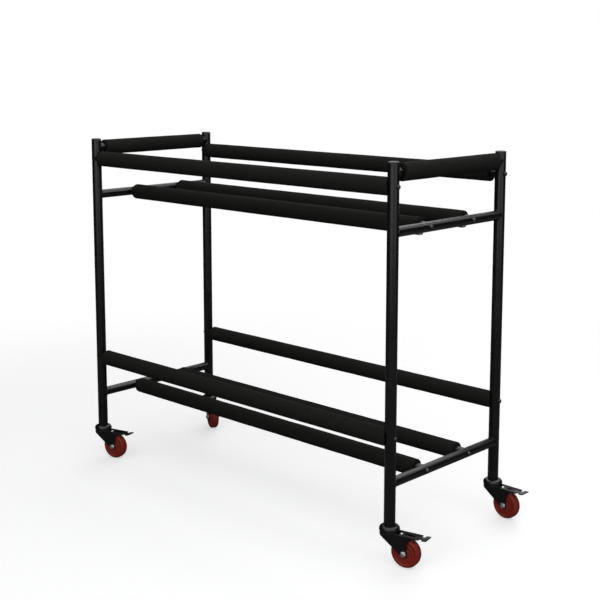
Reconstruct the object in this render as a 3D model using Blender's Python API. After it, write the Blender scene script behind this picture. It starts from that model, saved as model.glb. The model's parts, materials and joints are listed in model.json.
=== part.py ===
"""Rolling rack for drums: four tubular posts on braked casters, with two tiers of foam-covered rails.

The origin is on the floor, midway between the four posts. +X runs along the rack, +Y across it to the
back, +Z up. All sizes are in metres and all angles in degrees.
"""

import math

import bmesh
import bpy
from mathutils import Matrix

# Posts
POST_SPAN_X = 1.140
POST_SPAN_Y = 0.438
POST_DIAMETER = 0.0285
POST_WALL = 0.0015
POST_LENGTH = 0.878
FOOT_PLUG_LENGTH = 0.025

# Caps on the posts
CAP_HEIGHT = 0.005
CAP_FLAT_DIAMETER = 0.018
CAP_EDGE_HEIGHT = 0.002
CAP_STUB_LENGTH = 0.015

# Heights of the bars and rails, from axis to axis
END_BAR_BELOW_POST_TOP = 0.0215
SIDE_RAIL_BELOW_END_BAR = 0.0325
REST_RAIL_BELOW_SIDE_RAIL = 0.108
LOWER_REST_RAIL_ABOVE_POST_FOOT = 0.104
LOWER_SIDE_RAIL_ABOVE_REST_RAIL = 0.1135

# Bars and rails
RAIL_DIAMETER = 0.0254
RAIL_WALL = 0.0015
RAIL_PLUG_LENGTH = 0.020
REST_RAIL_SPACING = 0.176

# Foam sleeves: how much shorter each is than its span, and how far each has slid along its rail
FOAM_WALL = 0.0095
FOAM_EDGE = 0.0025
SIDE_SLEEVE_SHORTER = 0.034
SIDE_SLEEVE_SLIDE = 0.011
REST_SLEEVE_SHORTER = 0.046
REST_SLEEVE_SLIDES = {
    ("upper", "front"): 0.0015,
    ("upper", "back"): 0.0045,
    ("lower", "front"): 0.0,
    ("lower", "back"): -0.004,
}
END_SLEEVE_SHORTER = 0.056

# Button-head bolts with saddle washers, through posts and cross tubes into the rail plugs
BOLT_DIAMETER = 0.006
BOLT_ENGAGEMENT = 0.012
BOLT_HEAD_DIAMETER = 0.0105
BOLT_HEAD_HEIGHT = 0.0033
BOLT_HEAD_FLAT_DIAMETER = 0.006
SADDLE_DIAMETER = 0.013
SADDLE_THICKNESS = 0.0022

# Caster wheel and axle
WHEEL_DIAMETER = 0.075
WHEEL_WIDTH = 0.024
TREAD_WIDTH = 0.012
TREAD_SHOULDER = 0.004
HUB_DIAMETER = 0.022
AXLE_DIAMETER = 0.008
AXLE_HEAD_DIAMETER = 0.0136
AXLE_HEAD_HEIGHT = 0.006
AXLE_HEAD_EDGE = 0.0012

# Caster fork
CASTER_TRAIL = 0.046
WHEEL_TO_LEG = 0.0015
LEG_THICKNESS = 0.0025
CROWN_ABOVE_WHEEL = 0.0005
CROWN_DIAMETER = 0.0486
CROWN_HEIGHT = 0.0091
LEG_FRONT_REACH = 0.019
LEG_FRONT_DEPTH = 0.010
AXLE_BOSS_DIAMETER = 0.019
NECK_BEHIND_AXLE = 0.007
NECK_ABOVE_AXLE = 0.0205
ARM_BEHIND_AXLE = 0.038
ARM_TIP_DEPTH = 0.003

# Swivel head, with the stem above it and the kingpin below it
STEM_DIAMETER = 0.011
STEM_LENGTH = 0.028
COLLAR_DIAMETER = 0.0512
COLLAR_RIM_HEIGHT = 0.0024
COLLAR_DOME_HEIGHT = 0.0087
RACE_DIAMETER = 0.038
RACE_HEIGHT = 0.0007
KINGPIN_DIAMETER = 0.012
KINGPIN_HEAD_DIAMETER = 0.018
KINGPIN_HEAD_HEIGHT = 0.002

# Brake pedal
PEDAL_ABOVE_WHEEL = 0.004
PEDAL_THICKNESS = 0.0025
PEDAL_PIN_DIAMETER = 0.003
PEDAL_PIN_RISE = 0.0017
PEDAL_PIN_AHEAD_OF_AXLE = 0.014
LEG_TOP_ABOVE_PIN = 0.0023
PEDAL_BEHIND_CROWN = 0.0027
PEDAL_TO_LEG = 0.001
PEDAL_NECK_LENGTH = 0.008
PEDAL_NECK_WIDTH = 0.014
PEDAL_TIP_LENGTH = 0.013
PEDAL_TIP_WIDTH = 0.032
PEDAL_TIP_RISE = 0.002
PEDAL_RIB_HEIGHT = 0.0015
PEDAL_RIB_WIDTH = 0.002
PEDAL_RIB_INSET = 0.0005
PEDAL_FOOT_LAP = 0.003
PEDAL_FOOT_STEP = 0.0003
PEDAL_SLOT_LENGTH = 0.030
PEDAL_SLOT_WIDTH = 0.010

# The way each caster trails, turned from +X towards +Y
CASTER_TURNS = {
    "front_right": 12.0,
    "back_right": -1.0,
    "front_left": 15.0,
    "back_left": -27.0,
}

# Clearances
TOUCH_GAP = 0.0003
BOLT_CLEARANCE = 0.0003
RUNNING_CLEARANCE = 0.00005

# Mesh detail
TUBE_SIDES = 16
CASTER_SIDES = 16
WHEEL_SIDES = 24
SMALL_SIDES = 8
CURVE_STEPS = 4
DOME_STEPS = 3
SMOOTH_ANGLE = 40.0
MERGE_DISTANCE = 0.000001
SLIVER = 0.00001
CUTTER_OVERSHOOT = 0.005

CORNERS = {
    "front_right": (1, -1),
    "back_right": (1, 1),
    "front_left": (-1, -1),
    "back_left": (-1, 1),
}
SIDES = {"front": -1, "back": 1}
ENDS = {"right": 1, "left": -1}

# Sizes that follow from those above
post_radius = POST_DIAMETER / 2
post_bore = post_radius - POST_WALL
rail_radius = RAIL_DIAMETER / 2
rail_bore = rail_radius - RAIL_WALL
foam_bore = rail_radius + TOUCH_GAP
foam_radius = foam_bore + FOAM_WALL
bolt_radius = BOLT_DIAMETER / 2
stem_radius = STEM_DIAMETER / 2
pin_radius = PEDAL_PIN_DIAMETER / 2

axle_height = WHEEL_DIAMETER / 2
crown_bottom = WHEEL_DIAMETER + CROWN_ABOVE_WHEEL
crown_top = crown_bottom + CROWN_HEIGHT
race_bottom = crown_top + TOUCH_GAP
collar_bottom = race_bottom + RACE_HEIGHT
collar_shoulder = collar_bottom + COLLAR_RIM_HEIGHT
collar_seat = collar_shoulder + COLLAR_DOME_HEIGHT
post_foot = collar_seat + TOUCH_GAP
post_top = post_foot + POST_LENGTH

pedal_bottom = WHEEL_DIAMETER + PEDAL_ABOVE_WHEEL
pedal_top = pedal_bottom + PEDAL_THICKNESS
pin_height = pedal_bottom + PEDAL_PIN_RISE
pin_reach = CASTER_TRAIL - PEDAL_PIN_AHEAD_OF_AXLE
leg_top = pin_height + LEG_TOP_ABOVE_PIN
leg_inside = WHEEL_WIDTH / 2 + WHEEL_TO_LEG
leg_outside = leg_inside + LEG_THICKNESS
arm_reach = CASTER_TRAIL + ARM_BEHIND_AXLE

end_bar_height = post_top - END_BAR_BELOW_POST_TOP
upper_side_height = end_bar_height - SIDE_RAIL_BELOW_END_BAR
upper_rest_height = upper_side_height - REST_RAIL_BELOW_SIDE_RAIL
lower_rest_height = post_foot + LOWER_REST_RAIL_ABOVE_POST_FOOT
lower_side_height = lower_rest_height + LOWER_SIDE_RAIL_ABOVE_REST_RAIL
side_heights = {"upper": upper_side_height, "lower": lower_side_height}
rest_heights = {"upper": upper_rest_height, "lower": lower_rest_height}

# A turned shape is made upright, and this lays it along another axis
LAY_ALONG = {
    "X": Matrix.Rotation(math.radians(90), 4, "Y"),
    "Y": Matrix.Rotation(math.radians(-90), 4, "X"),
    "Z": Matrix.Identity(4),
}


def across_flats(radius, sides):
    """Corner radius of a hole with this many sides whose flats clear a round pin of the radius."""
    return radius / math.cos(math.pi / sides)


def clear_scene():
    for obj in list(bpy.data.objects):
        bpy.data.objects.remove(obj, do_unlink=True)


def finish(name, colour, roughness, metallic):
    """Plain surface of one colour, linear RGB."""
    made = bpy.data.materials.new(name)
    made.use_nodes = True
    shader = made.node_tree.nodes["Principled BSDF"]
    shader.inputs["Base Color"].default_value = (*colour, 1.0)
    shader.inputs["Roughness"].default_value = roughness
    shader.inputs["Metallic"].default_value = metallic
    made.diffuse_color = (*colour, 1.0)
    return made


def add(name, bm):
    """Object at the origin that holds the faces of this mesh, turned outwards."""
    bmesh.ops.remove_doubles(bm, verts=bm.verts, dist=MERGE_DISTANCE)
    bmesh.ops.recalc_face_normals(bm, faces=bm.faces)
    mesh = bpy.data.meshes.new(name)
    bm.to_mesh(mesh)
    bm.free()
    obj = bpy.data.objects.new(name, mesh)
    bpy.context.scene.collection.objects.link(obj)
    return obj


def turned(name, profile, sides, axis="Z"):
    """Solid of revolution. The profile lists radius and height, and starts and ends on the axis, or else
    is a closed loop off it."""
    bm = bmesh.new()
    points = [bm.verts.new((radius, 0, height)) for radius, height in profile]
    ring = points + points[:1] if profile[0][0] > 0 else points
    edges = [bm.edges.new(pair) for pair in zip(ring, ring[1:])]
    bmesh.ops.spin(
        bm,
        geom=points + edges,
        cent=(0, 0, 0),
        axis=(0, 0, 1),
        angle=math.radians(360),
        steps=sides,
        use_merge=True,
    )
    bmesh.ops.transform(bm, matrix=LAY_ALONG[axis], verts=bm.verts)
    return add(name, bm)


def rod(name, radius, low, high, sides, axis="Z"):
    """Solid cylinder between two places on the axis."""
    return turned(name, [(0, low), (radius, low), (radius, high), (0, high)], sides, axis)


def tube(name, radius, bore, length, axis):
    """Plain tube about the middle of the axis."""
    half = length / 2
    profile = [(radius, -half), (radius, half), (bore, half), (bore, -half)]
    return turned(name, profile, TUBE_SIDES, axis)


def plate(name, outline, low, high, axis):
    """Flat plate. For axis Y the outline lists x and z, for axis Z it lists x and y."""
    bm = bmesh.new()
    if axis == "Y":
        corners = [bm.verts.new((first, low, second)) for first, second in outline]
        shift = (0, high - low, 0)
    else:
        corners = [bm.verts.new((first, second, low)) for first, second in outline]
        shift = (0, 0, high - low)
    face = bm.faces.new(corners)
    grown = bmesh.ops.extrude_face_region(bm, geom=[face])["geom"]
    far_corners = [item for item in grown if isinstance(item, bmesh.types.BMVert)]
    bmesh.ops.translate(bm, vec=shift, verts=far_corners)
    return add(name, bm)


def moved(obj, x=0.0, y=0.0, z=0.0):
    """Shifts the mesh itself, so that the object stays at the origin."""
    obj.data.transform(Matrix.Translation((x, y, z)))
    return obj


def combine(obj, others, operation):
    """Joins the other objects to this one, or cuts them from it, removes them and clears away slivers."""
    for other in others:
        modifier = obj.modifiers.new(other.name, "BOOLEAN")
        modifier.operation = operation
        modifier.solver = "EXACT"
        modifier.object = other
    graph = bpy.context.evaluated_depsgraph_get()
    result = bpy.data.meshes.new_from_object(obj.evaluated_get(graph))
    obj.modifiers.clear()
    obj.data = result
    bm = bmesh.new()
    bm.from_mesh(result)
    bmesh.ops.remove_doubles(bm, verts=bm.verts, dist=SLIVER)
    bmesh.ops.dissolve_degenerate(bm, edges=bm.edges, dist=SLIVER)
    bm.to_mesh(result)
    bm.free()
    for other in others:
        bpy.data.objects.remove(other, do_unlink=True)
    return obj


def cut(obj, *cutters):
    return combine(obj, cutters, "DIFFERENCE")


def join(obj, *others):
    return combine(obj, others, "UNION")


def shape_of(obj):
    """The object's mesh, smooth where it is round, for the pieces that share it."""
    mesh = obj.data
    bpy.data.objects.remove(obj, do_unlink=True)
    mesh.shade_smooth()
    mesh.set_sharp_from_angle(angle=math.radians(SMOOTH_ANGLE))
    return mesh


def place(name, mesh, surface, parent, location=(0, 0, 0), turn=0.0):
    """One piece of the rack, turned about the upright axis by so many degrees."""
    if not mesh.materials:
        mesh.materials.append(surface)
    mesh.name = name
    obj = bpy.data.objects.new(name, mesh)
    bpy.context.scene.collection.objects.link(obj)
    obj.parent = parent
    obj.location = location
    obj.rotation_euler = (0, 0, math.radians(turn))
    return obj


def frame_point(name, parent=None, location=(0, 0, 0)):
    """Empty that carries other pieces."""
    obj = bpy.data.objects.new(name, None)
    bpy.context.scene.collection.objects.link(obj)
    obj.parent = parent
    obj.location = location
    return obj


def post_clearance(x, height):
    """Upright cutter that leaves the touching gap round a post, along this much of it."""
    radius = post_radius + TOUCH_GAP
    return moved(rod("post_clearance", radius, -height, height, TUBE_SIDES), x=x)


def post_shape():
    """Tube with a bored plug in its foot for the caster's stem, and cross holes for the side rails' bolts."""
    stem_bore = across_flats(stem_radius + TOUCH_GAP, TUBE_SIDES)
    profile = [
        (post_radius, 0),
        (post_radius, POST_LENGTH),
        (post_bore, POST_LENGTH),
        (post_bore, FOOT_PLUG_LENGTH),
        (stem_bore, FOOT_PLUG_LENGTH),
        (stem_bore, 0),
    ]
    post = turned("post", profile, TUBE_SIDES)
    hole_radius = across_flats(bolt_radius + BOLT_CLEARANCE, SMALL_SIDES)
    reach = post_radius + CUTTER_OVERSHOOT
    holes = [
        moved(rod("bolt_hole", hole_radius, -reach, reach, SMALL_SIDES, "X"), z=height - post_foot)
        for height in side_heights.values()
    ]
    return shape_of(cut(post, *holes))


def cap_shape():
    """Cap with a rounded edge and a stub that plugs the post."""
    stub_radius = post_bore - TOUCH_GAP
    profile = [
        (0, CAP_HEIGHT),
        (CAP_FLAT_DIAMETER / 2, CAP_HEIGHT),
        (post_radius, CAP_EDGE_HEIGHT),
        (post_radius, 0),
        (stub_radius, 0),
        (stub_radius, -CAP_STUB_LENGTH),
        (0, -CAP_STUB_LENGTH),
    ]
    return shape_of(turned("cap", profile, TUBE_SIDES))


def rail_shape(end_radius, end_axis):
    """Tube along X with a bored plug in each end, each end hollowed to sit against a round upright or
    cross tube of this radius."""
    half = POST_SPAN_X / 2
    plug_inside = half - end_radius - TOUCH_GAP - RAIL_PLUG_LENGTH
    plug_bore = across_flats(bolt_radius + BOLT_CLEARANCE, TUBE_SIDES)
    profile = [
        (rail_radius, -half),
        (rail_radius, half),
        (plug_bore, half),
        (plug_bore, plug_inside),
        (rail_bore, plug_inside),
        (rail_bore, -plug_inside),
        (plug_bore, -plug_inside),
        (plug_bore, -half),
    ]
    rail = turned("rail", profile, TUBE_SIDES, "X")
    reach = rail_radius + CUTTER_OVERSHOOT
    ends = [
        moved(rod("rail_end", end_radius + TOUCH_GAP, -reach, reach, TUBE_SIDES, end_axis), x=side * half)
        for side in ENDS.values()
    ]
    return shape_of(cut(rail, *ends))


def crossing(name):
    """Tube along Y between two posts, its ends hollowed to sit against them."""
    bar = tube(name, rail_radius, rail_bore, POST_SPAN_Y, "Y")
    reach = rail_radius + CUTTER_OVERSHOOT
    radius = post_radius + TOUCH_GAP
    ends = [
        moved(rod("bar_end", radius, -reach, reach, TUBE_SIDES), y=side * POST_SPAN_Y / 2)
        for side in SIDES.values()
    ]
    return cut(bar, *ends)


def bolt(seat_radius, seat_axis):
    """Button-head bolt along X with its saddle washer. The origin is on the axis of the tube that it goes
    through, and the head is on the +X side."""
    seat = seat_radius + SADDLE_THICKNESS
    head_top = seat + BOLT_HEAD_HEIGHT
    profile = [
        (0, 0),
        (SADDLE_DIAMETER / 2, 0),
        (SADDLE_DIAMETER / 2, seat),
        (BOLT_HEAD_DIAMETER / 2, seat),
        (BOLT_HEAD_FLAT_DIAMETER / 2, head_top),
        (0, head_top),
    ]
    head = turned("bolt", profile, SMALL_SIDES, "X")
    reach = SADDLE_DIAMETER / 2 + CUTTER_OVERSHOOT
    cut(head, rod("saddle", seat_radius + TOUCH_GAP, -reach, reach, TUBE_SIDES, seat_axis))
    tip = -(seat_radius + TOUCH_GAP + BOLT_ENGAGEMENT)
    return join(head, rod("shank", bolt_radius, tip, seat, SMALL_SIDES, "X"))


def cross_tube_shape():
    """Cross tube for the right-hand end, with the two bolts that hold the rest rails."""
    bar = crossing("cross_tube")
    bolts = []
    for side in SIDES.values():
        bolts.append(moved(fixed_bolt(), y=side * REST_RAIL_SPACING / 2))
    return shape_of(join(bar, *bolts))


def fixed_bolt():
    """The rest rail's bolt, which is one with the cross tube: its head starts inside the tube's wall."""
    seat = rail_radius + SADDLE_THICKNESS
    head_top = seat + BOLT_HEAD_HEIGHT
    tip = -(rail_radius + TOUCH_GAP + BOLT_ENGAGEMENT)
    inside = rail_radius - RAIL_WALL / 2
    profile = [
        (0, tip),
        (bolt_radius, tip),
        (bolt_radius, inside),
        (SADDLE_DIAMETER / 2, inside),
        (SADDLE_DIAMETER / 2, seat),
        (BOLT_HEAD_DIAMETER / 2, seat),
        (BOLT_HEAD_FLAT_DIAMETER / 2, head_top),
        (0, head_top),
    ]
    return turned("cross_bolt", profile, SMALL_SIDES, "X")


def sleeve(name, length, axis):
    """Foam sleeve with a small bevel at each end."""
    half = length / 2
    profile = [
        (foam_bore, -half),
        (foam_radius - FOAM_EDGE, -half),
        (foam_radius, -half + FOAM_EDGE),
        (foam_radius, half - FOAM_EDGE),
        (foam_radius - FOAM_EDGE, half),
        (foam_bore, half),
    ]
    return turned(name, profile, TUBE_SIDES, axis)


def side_sleeve_shape():
    """Sleeve that has slid towards +X until it wraps part of the way round the post there."""
    foam = moved(sleeve("side_sleeve", POST_SPAN_X - SIDE_SLEEVE_SHORTER, "X"), x=SIDE_SLEEVE_SLIDE)
    reach = foam_radius + CUTTER_OVERSHOOT
    cutters = []
    for side in ENDS.values():
        cutters.append(post_clearance(side * POST_SPAN_X / 2, reach))
        end_bar = rod("end_bar_clearance", rail_radius + TOUCH_GAP, -reach, reach, TUBE_SIDES, "Y")
        cutters.append(moved(end_bar, x=side * POST_SPAN_X / 2, z=SIDE_RAIL_BELOW_END_BAR))
    return shape_of(cut(foam, *cutters))


def swivel_head_shape():
    """Stem, collar, bearing race, kingpin and kingpin head, turned in one, with heights above the floor."""
    dome_width = COLLAR_DIAMETER / 2 - post_radius
    pin_top = crown_bottom - TOUCH_GAP
    profile = [
        (0, collar_seat + STEM_LENGTH),
        (stem_radius, collar_seat + STEM_LENGTH),
        (stem_radius, collar_seat),
    ]
    for step in range(DOME_STEPS + 1):
        angle = math.radians(90) * (1 - step / DOME_STEPS)
        radius = post_radius + dome_width * math.cos(angle)
        profile.append((radius, collar_shoulder + COLLAR_DOME_HEIGHT * math.sin(angle)))
    profile += [
        (COLLAR_DIAMETER / 2, collar_bottom),
        (RACE_DIAMETER / 2, collar_bottom),
        (RACE_DIAMETER / 2, race_bottom),
        (KINGPIN_DIAMETER / 2, race_bottom),
        (KINGPIN_DIAMETER / 2, pin_top),
        (KINGPIN_HEAD_DIAMETER / 2, pin_top),
        (KINGPIN_HEAD_DIAMETER / 2, pin_top - KINGPIN_HEAD_HEIGHT),
        (0, pin_top - KINGPIN_HEAD_HEIGHT),
    ]
    return shape_of(turned("swivel_head", profile, CASTER_SIDES))


def leg_outline():
    """Side view of a fork leg: down the front, along a slope to the boss round the axle, up behind it and
    out along a hollow curve under the arm that guards the pedal."""
    boss = AXLE_BOSS_DIAMETER / 2
    front_low = leg_top - LEG_FRONT_DEPTH
    run = CASTER_TRAIL + LEG_FRONT_REACH
    drop = front_low - axle_height
    slope_start = math.atan2(drop, run)
    meeting = slope_start + math.asin(boss / math.hypot(run, drop))
    first = math.radians(-90) - meeting
    points = [(-LEG_FRONT_REACH, leg_top), (-LEG_FRONT_REACH, front_low)]
    for step in range(CURVE_STEPS + 1):
        angle = first * (1 - step / CURVE_STEPS)
        points.append((CASTER_TRAIL + boss * math.cos(angle), axle_height + boss * math.sin(angle)))
    neck = (CASTER_TRAIL + NECK_BEHIND_AXLE, axle_height + NECK_ABOVE_AXLE)
    width = arm_reach - neck[0]
    height = leg_top - ARM_TIP_DEPTH - neck[1]
    for step in range(CURVE_STEPS + 1):
        angle = math.radians(90) * step / CURVE_STEPS
        points.append((arm_reach - width * math.cos(angle), neck[1] + height * math.sin(angle)))
    points.append((arm_reach, leg_top))
    return points


def fork_shape():
    """Bored crown with a leg each side, drilled for the axle and for the pedal's pin. The fork trails
    towards +X from the swivel axis, and its origin is on the floor below that axis."""
    kingpin_hole = across_flats(KINGPIN_DIAMETER / 2 + RUNNING_CLEARANCE, CASTER_SIDES)
    profile = [
        (CROWN_DIAMETER / 2, crown_bottom),
        (CROWN_DIAMETER / 2, crown_top),
        (kingpin_hole, crown_top),
        (kingpin_hole, crown_bottom),
    ]
    fork = turned("fork", profile, CASTER_SIDES)
    outline = leg_outline()
    right = plate("right_leg", outline, -leg_outside, -leg_inside, "Y")
    left = plate("left_leg", outline, leg_inside, leg_outside, "Y")
    join(fork, right, left)
    reach = leg_outside + CUTTER_OVERSHOOT
    axle_hole = across_flats(AXLE_DIAMETER / 2 + RUNNING_CLEARANCE, SMALL_SIDES)
    pin_hole = across_flats(pin_radius + RUNNING_CLEARANCE, SMALL_SIDES)
    axle = moved(rod("axle", axle_hole, -reach, reach, SMALL_SIDES, "Y"), x=CASTER_TRAIL, z=axle_height)
    pin = moved(rod("pin", pin_hole, -reach, reach, SMALL_SIDES, "Y"), x=pin_reach, z=pin_height)
    return shape_of(cut(fork, axle, pin))


def wheel_shape():
    """Wheel about Y with a flat tread, a sloping shoulder each side and a hub that nearly meets the legs."""
    tread_radius = WHEEL_DIAMETER / 2
    hub_face = leg_inside - TOUCH_GAP
    bore = across_flats(AXLE_DIAMETER / 2 + RUNNING_CLEARANCE, WHEEL_SIDES)
    half = [
        (tread_radius, TREAD_WIDTH / 2),
        (tread_radius - TREAD_SHOULDER, WHEEL_WIDTH / 2),
        (HUB_DIAMETER / 2, WHEEL_WIDTH / 2),
        (HUB_DIAMETER / 2, hub_face),
        (bore, hub_face),
    ]
    other_half = [(radius, -height) for radius, height in reversed(half)]
    return shape_of(turned("wheel", half + other_half, WHEEL_SIDES, "Y"))


def axle_bolt_shape():
    """Axle about Y with a round head outside one leg and a nut of the same size outside the other."""
    axle = AXLE_DIAMETER / 2
    head = AXLE_HEAD_DIAMETER / 2
    seat = leg_outside + TOUCH_GAP
    face = seat + AXLE_HEAD_HEIGHT
    half = [
        (0, face),
        (head - AXLE_HEAD_EDGE, face),
        (head, face - AXLE_HEAD_EDGE),
        (head, seat),
        (axle, seat),
    ]
    other_half = [(radius, -height) for radius, height in reversed(half)]
    return shape_of(turned("axle_bolt", half + other_half, SMALL_SIDES, "Y"))


def foot_bar(rear, bottom, top):
    """T-shaped tip of the pedal, which slopes up from inside the plate's rear end."""
    start = rear - PEDAL_FOOT_LAP
    neck_end = rear + PEDAL_NECK_LENGTH
    tip_end = neck_end + PEDAL_TIP_LENGTH
    half = [
        (start, PEDAL_NECK_WIDTH / 2),
        (neck_end, PEDAL_NECK_WIDTH / 2),
        (neck_end, PEDAL_TIP_WIDTH / 2),
        (tip_end, PEDAL_TIP_WIDTH / 2),
    ]
    outline = half + [(x, -y) for x, y in reversed(half)]
    bar = plate("foot_bar", outline, bottom + PEDAL_FOOT_STEP, top + PEDAL_FOOT_STEP, "Z")
    for vert in bar.data.vertices:
        vert.co.z += PEDAL_TIP_RISE * (vert.co.x - start) / (tip_end - start)
    return bar


def slot_outline(middle):
    """Round-ended slot along X."""
    end = PEDAL_SLOT_WIDTH / 2
    straight = PEDAL_SLOT_LENGTH / 2 - end
    points = []
    for side, start in ((1, -90), (-1, 90)):
        for step in range(CURVE_STEPS + 1):
            angle = math.radians(start + 180 * step / CURVE_STEPS)
            points.append((middle + side * straight + end * math.cos(angle), end * math.sin(angle)))
    return points


def pedal_shape():
    """Brake pedal with its origin on its pin's axis: ribbed plate with a slot, and an upturned foot bar."""
    bottom = pedal_bottom - pin_height
    top = pedal_top - pin_height
    front = CROWN_DIAMETER / 2 + PEDAL_BEHIND_CROWN - pin_reach
    rear = arm_reach - pin_reach
    side = leg_inside - PEDAL_TO_LEG
    corners = [(front, -side), (rear, -side), (rear, side), (front, side)]
    pedal = plate("pedal", corners, bottom, top, "Z")
    slot = slot_outline((front + rear) / 2)
    cut(pedal, plate("slot", slot, bottom - CUTTER_OVERSHOOT, top + CUTTER_OVERSHOOT, "Z"))

    rib_low = (bottom + top) / 2
    start = front + PEDAL_RIB_INSET
    stop = rear - PEDAL_RIB_INSET
    outer = side - PEDAL_RIB_INSET
    inner = outer - PEDAL_RIB_WIDTH
    extras = [
        rod("pin", pin_radius, -leg_outside, leg_outside, SMALL_SIDES, "Y"),
        foot_bar(rear, bottom, top),
    ]
    for way in (-1, 1):
        corners = [(start, way * inner), (stop, way * inner), (stop, way * outer), (start, way * outer)]
        extras.append(plate("rib", corners, rib_low, top + PEDAL_RIB_HEIGHT, "Z"))
    return shape_of(join(pedal, *extras))


def main():
    clear_scene()
    powder = finish("black_powder_coat", (0.012, 0.012, 0.012), 0.35, 0.3)
    foam = finish("black_foam", (0.014, 0.014, 0.015), 0.9, 0.0)
    plastic = finish("black_plastic", (0.010, 0.010, 0.010), 0.5, 0.0)
    painted = finish("black_caster_paint", (0.010, 0.010, 0.011), 0.4, 0.3)
    black_bolt = finish("black_bolt_steel", (0.015, 0.015, 0.016), 0.3, 0.6)
    zinc = finish("zinc_plate", (0.50, 0.50, 0.48), 0.3, 1.0)
    red = finish("dark_red_rubber", (0.155, 0.020, 0.016), 0.55, 0.0)

    rack = frame_point("rack")
    half_x = POST_SPAN_X / 2
    half_y = POST_SPAN_Y / 2

    post = post_shape()
    cap = cap_shape()
    post_bolt = shape_of(bolt(post_radius, "Z"))
    for corner, (side_x, side_y) in CORNERS.items():
        x = side_x * half_x
        y = side_y * half_y
        place(f"post_{corner}", post, powder, rack, (x, y, post_foot))
        place(f"cap_{corner}", cap, plastic, rack, (x, y, post_top + TOUCH_GAP))
        for tier, height in side_heights.items():
            turn = 0 if side_x > 0 else 180
            place(f"post_bolt_{tier}_{corner}", post_bolt, black_bolt, rack, (x, y, height), turn)

    side_rail = rail_shape(post_radius, "Z")
    rest_rail = rail_shape(rail_radius, "Y")
    side_sleeve = side_sleeve_shape()
    rest_sleeve = shape_of(sleeve("rest_sleeve", POST_SPAN_X - REST_SLEEVE_SHORTER, "X"))
    for side, way in SIDES.items():
        for tier in ("upper", "lower"):
            y = way * half_y
            height = side_heights[tier]
            place(f"side_rail_{tier}_{side}", side_rail, powder, rack, (0, y, height))
            turn = 180 if (tier, side) == ("upper", "back") else 0
            place(f"side_sleeve_{tier}_{side}", side_sleeve, foam, rack, (0, y, height), turn)
            y = way * REST_RAIL_SPACING / 2
            height = rest_heights[tier]
            place(f"rest_rail_{tier}_{side}", rest_rail, powder, rack, (0, y, height))
            x = REST_SLEEVE_SLIDES[tier, side]
            place(f"rest_sleeve_{tier}_{side}", rest_sleeve, foam, rack, (x, y, height))

    cross_tube = cross_tube_shape()
    end_bar = shape_of(crossing("end_bar"))
    end_sleeve = shape_of(sleeve("end_sleeve", POST_SPAN_Y - END_SLEEVE_SHORTER, "Y"))
    for end, way in ENDS.items():
        x = way * half_x
        for tier, height in rest_heights.items():
            turn = 0 if way > 0 else 180
            place(f"cross_tube_{tier}_{end}", cross_tube, powder, rack, (x, 0, height), turn)
        place(f"end_bar_{end}", end_bar, powder, rack, (x, 0, end_bar_height))
        place(f"end_sleeve_{end}", end_sleeve, foam, rack, (x, 0, end_bar_height))

    head = swivel_head_shape()
    fork = fork_shape()
    wheel = wheel_shape()
    axle_bolt = axle_bolt_shape()
    pedal = pedal_shape()
    for corner, (side_x, side_y) in CORNERS.items():
        caster = frame_point(f"caster_{corner}", rack, (side_x * half_x, side_y * half_y, 0))
        place(f"swivel_head_{corner}", head, painted, caster)
        carrier = place(f"fork_{corner}", fork, painted, caster, turn=CASTER_TURNS[corner])
        axle = (CASTER_TRAIL, 0, axle_height)
        place(f"wheel_{corner}", wheel, red, carrier, axle)
        place(f"axle_bolt_{corner}", axle_bolt, zinc, carrier, axle)
        place(f"brake_pedal_{corner}", pedal, painted, carrier, (pin_reach, 0, pin_height))


main()
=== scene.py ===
# %% [markdown]
# # A rolling drum rack
# The rack is a welded and bolted frame of black steel tube on four braked casters. Two tiers of rails
# wear foam sleeves, so that what lies on them isn't scratched. The solid model already holds every size
# and every joint. This notebook gives each piece its fine surface and its finish, then sets up a small
# photo studio round it.

# %% Open the solid model
import json
import math

import bpy
import numpy as np
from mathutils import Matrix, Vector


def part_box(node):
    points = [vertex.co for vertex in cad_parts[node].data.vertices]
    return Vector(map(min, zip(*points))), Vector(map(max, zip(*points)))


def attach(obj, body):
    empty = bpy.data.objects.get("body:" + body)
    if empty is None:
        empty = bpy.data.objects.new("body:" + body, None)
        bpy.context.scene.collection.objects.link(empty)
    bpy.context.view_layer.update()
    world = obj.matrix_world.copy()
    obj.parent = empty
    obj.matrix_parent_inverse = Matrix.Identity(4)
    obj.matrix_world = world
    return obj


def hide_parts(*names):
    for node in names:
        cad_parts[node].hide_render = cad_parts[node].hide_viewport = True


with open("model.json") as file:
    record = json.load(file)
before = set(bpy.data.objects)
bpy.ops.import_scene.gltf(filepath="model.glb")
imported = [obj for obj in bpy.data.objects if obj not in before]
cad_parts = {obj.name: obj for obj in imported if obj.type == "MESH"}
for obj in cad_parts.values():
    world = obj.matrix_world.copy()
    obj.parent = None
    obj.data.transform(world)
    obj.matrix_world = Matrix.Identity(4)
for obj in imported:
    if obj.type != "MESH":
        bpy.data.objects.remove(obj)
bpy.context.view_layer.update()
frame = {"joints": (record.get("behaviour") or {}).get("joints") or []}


# %% [markdown]
# ## Reading places from the solid model
# A fine piece has to sit exactly where its solid sits. The middle of a solid's box gives its axis, and half
# of the box's short side gives its radius, so no size is typed twice.

# %% Places and radii
def middle(node):
    """Centre of the solid's box."""
    low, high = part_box(node)
    return (np.array(low) + np.array(high)) / 2


def half_size(node):
    """Half of the box's three sides."""
    low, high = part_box(node)
    return (np.array(high) - np.array(low)) / 2


CORNERS = ("front_right", "back_right", "front_left", "back_left")
TIERS = ("upper", "lower")
SIDES = ("front", "back")
ENDS = ("right", "left")
POST_RADIUS = half_size("post_front_right")[0]
TUBE_RADIUS = half_size("end_bar_right")[0]
print("post", round(POST_RADIUS * 2000, 2), "mm, tube", round(TUBE_RADIUS * 2000, 2), "mm")

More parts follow.
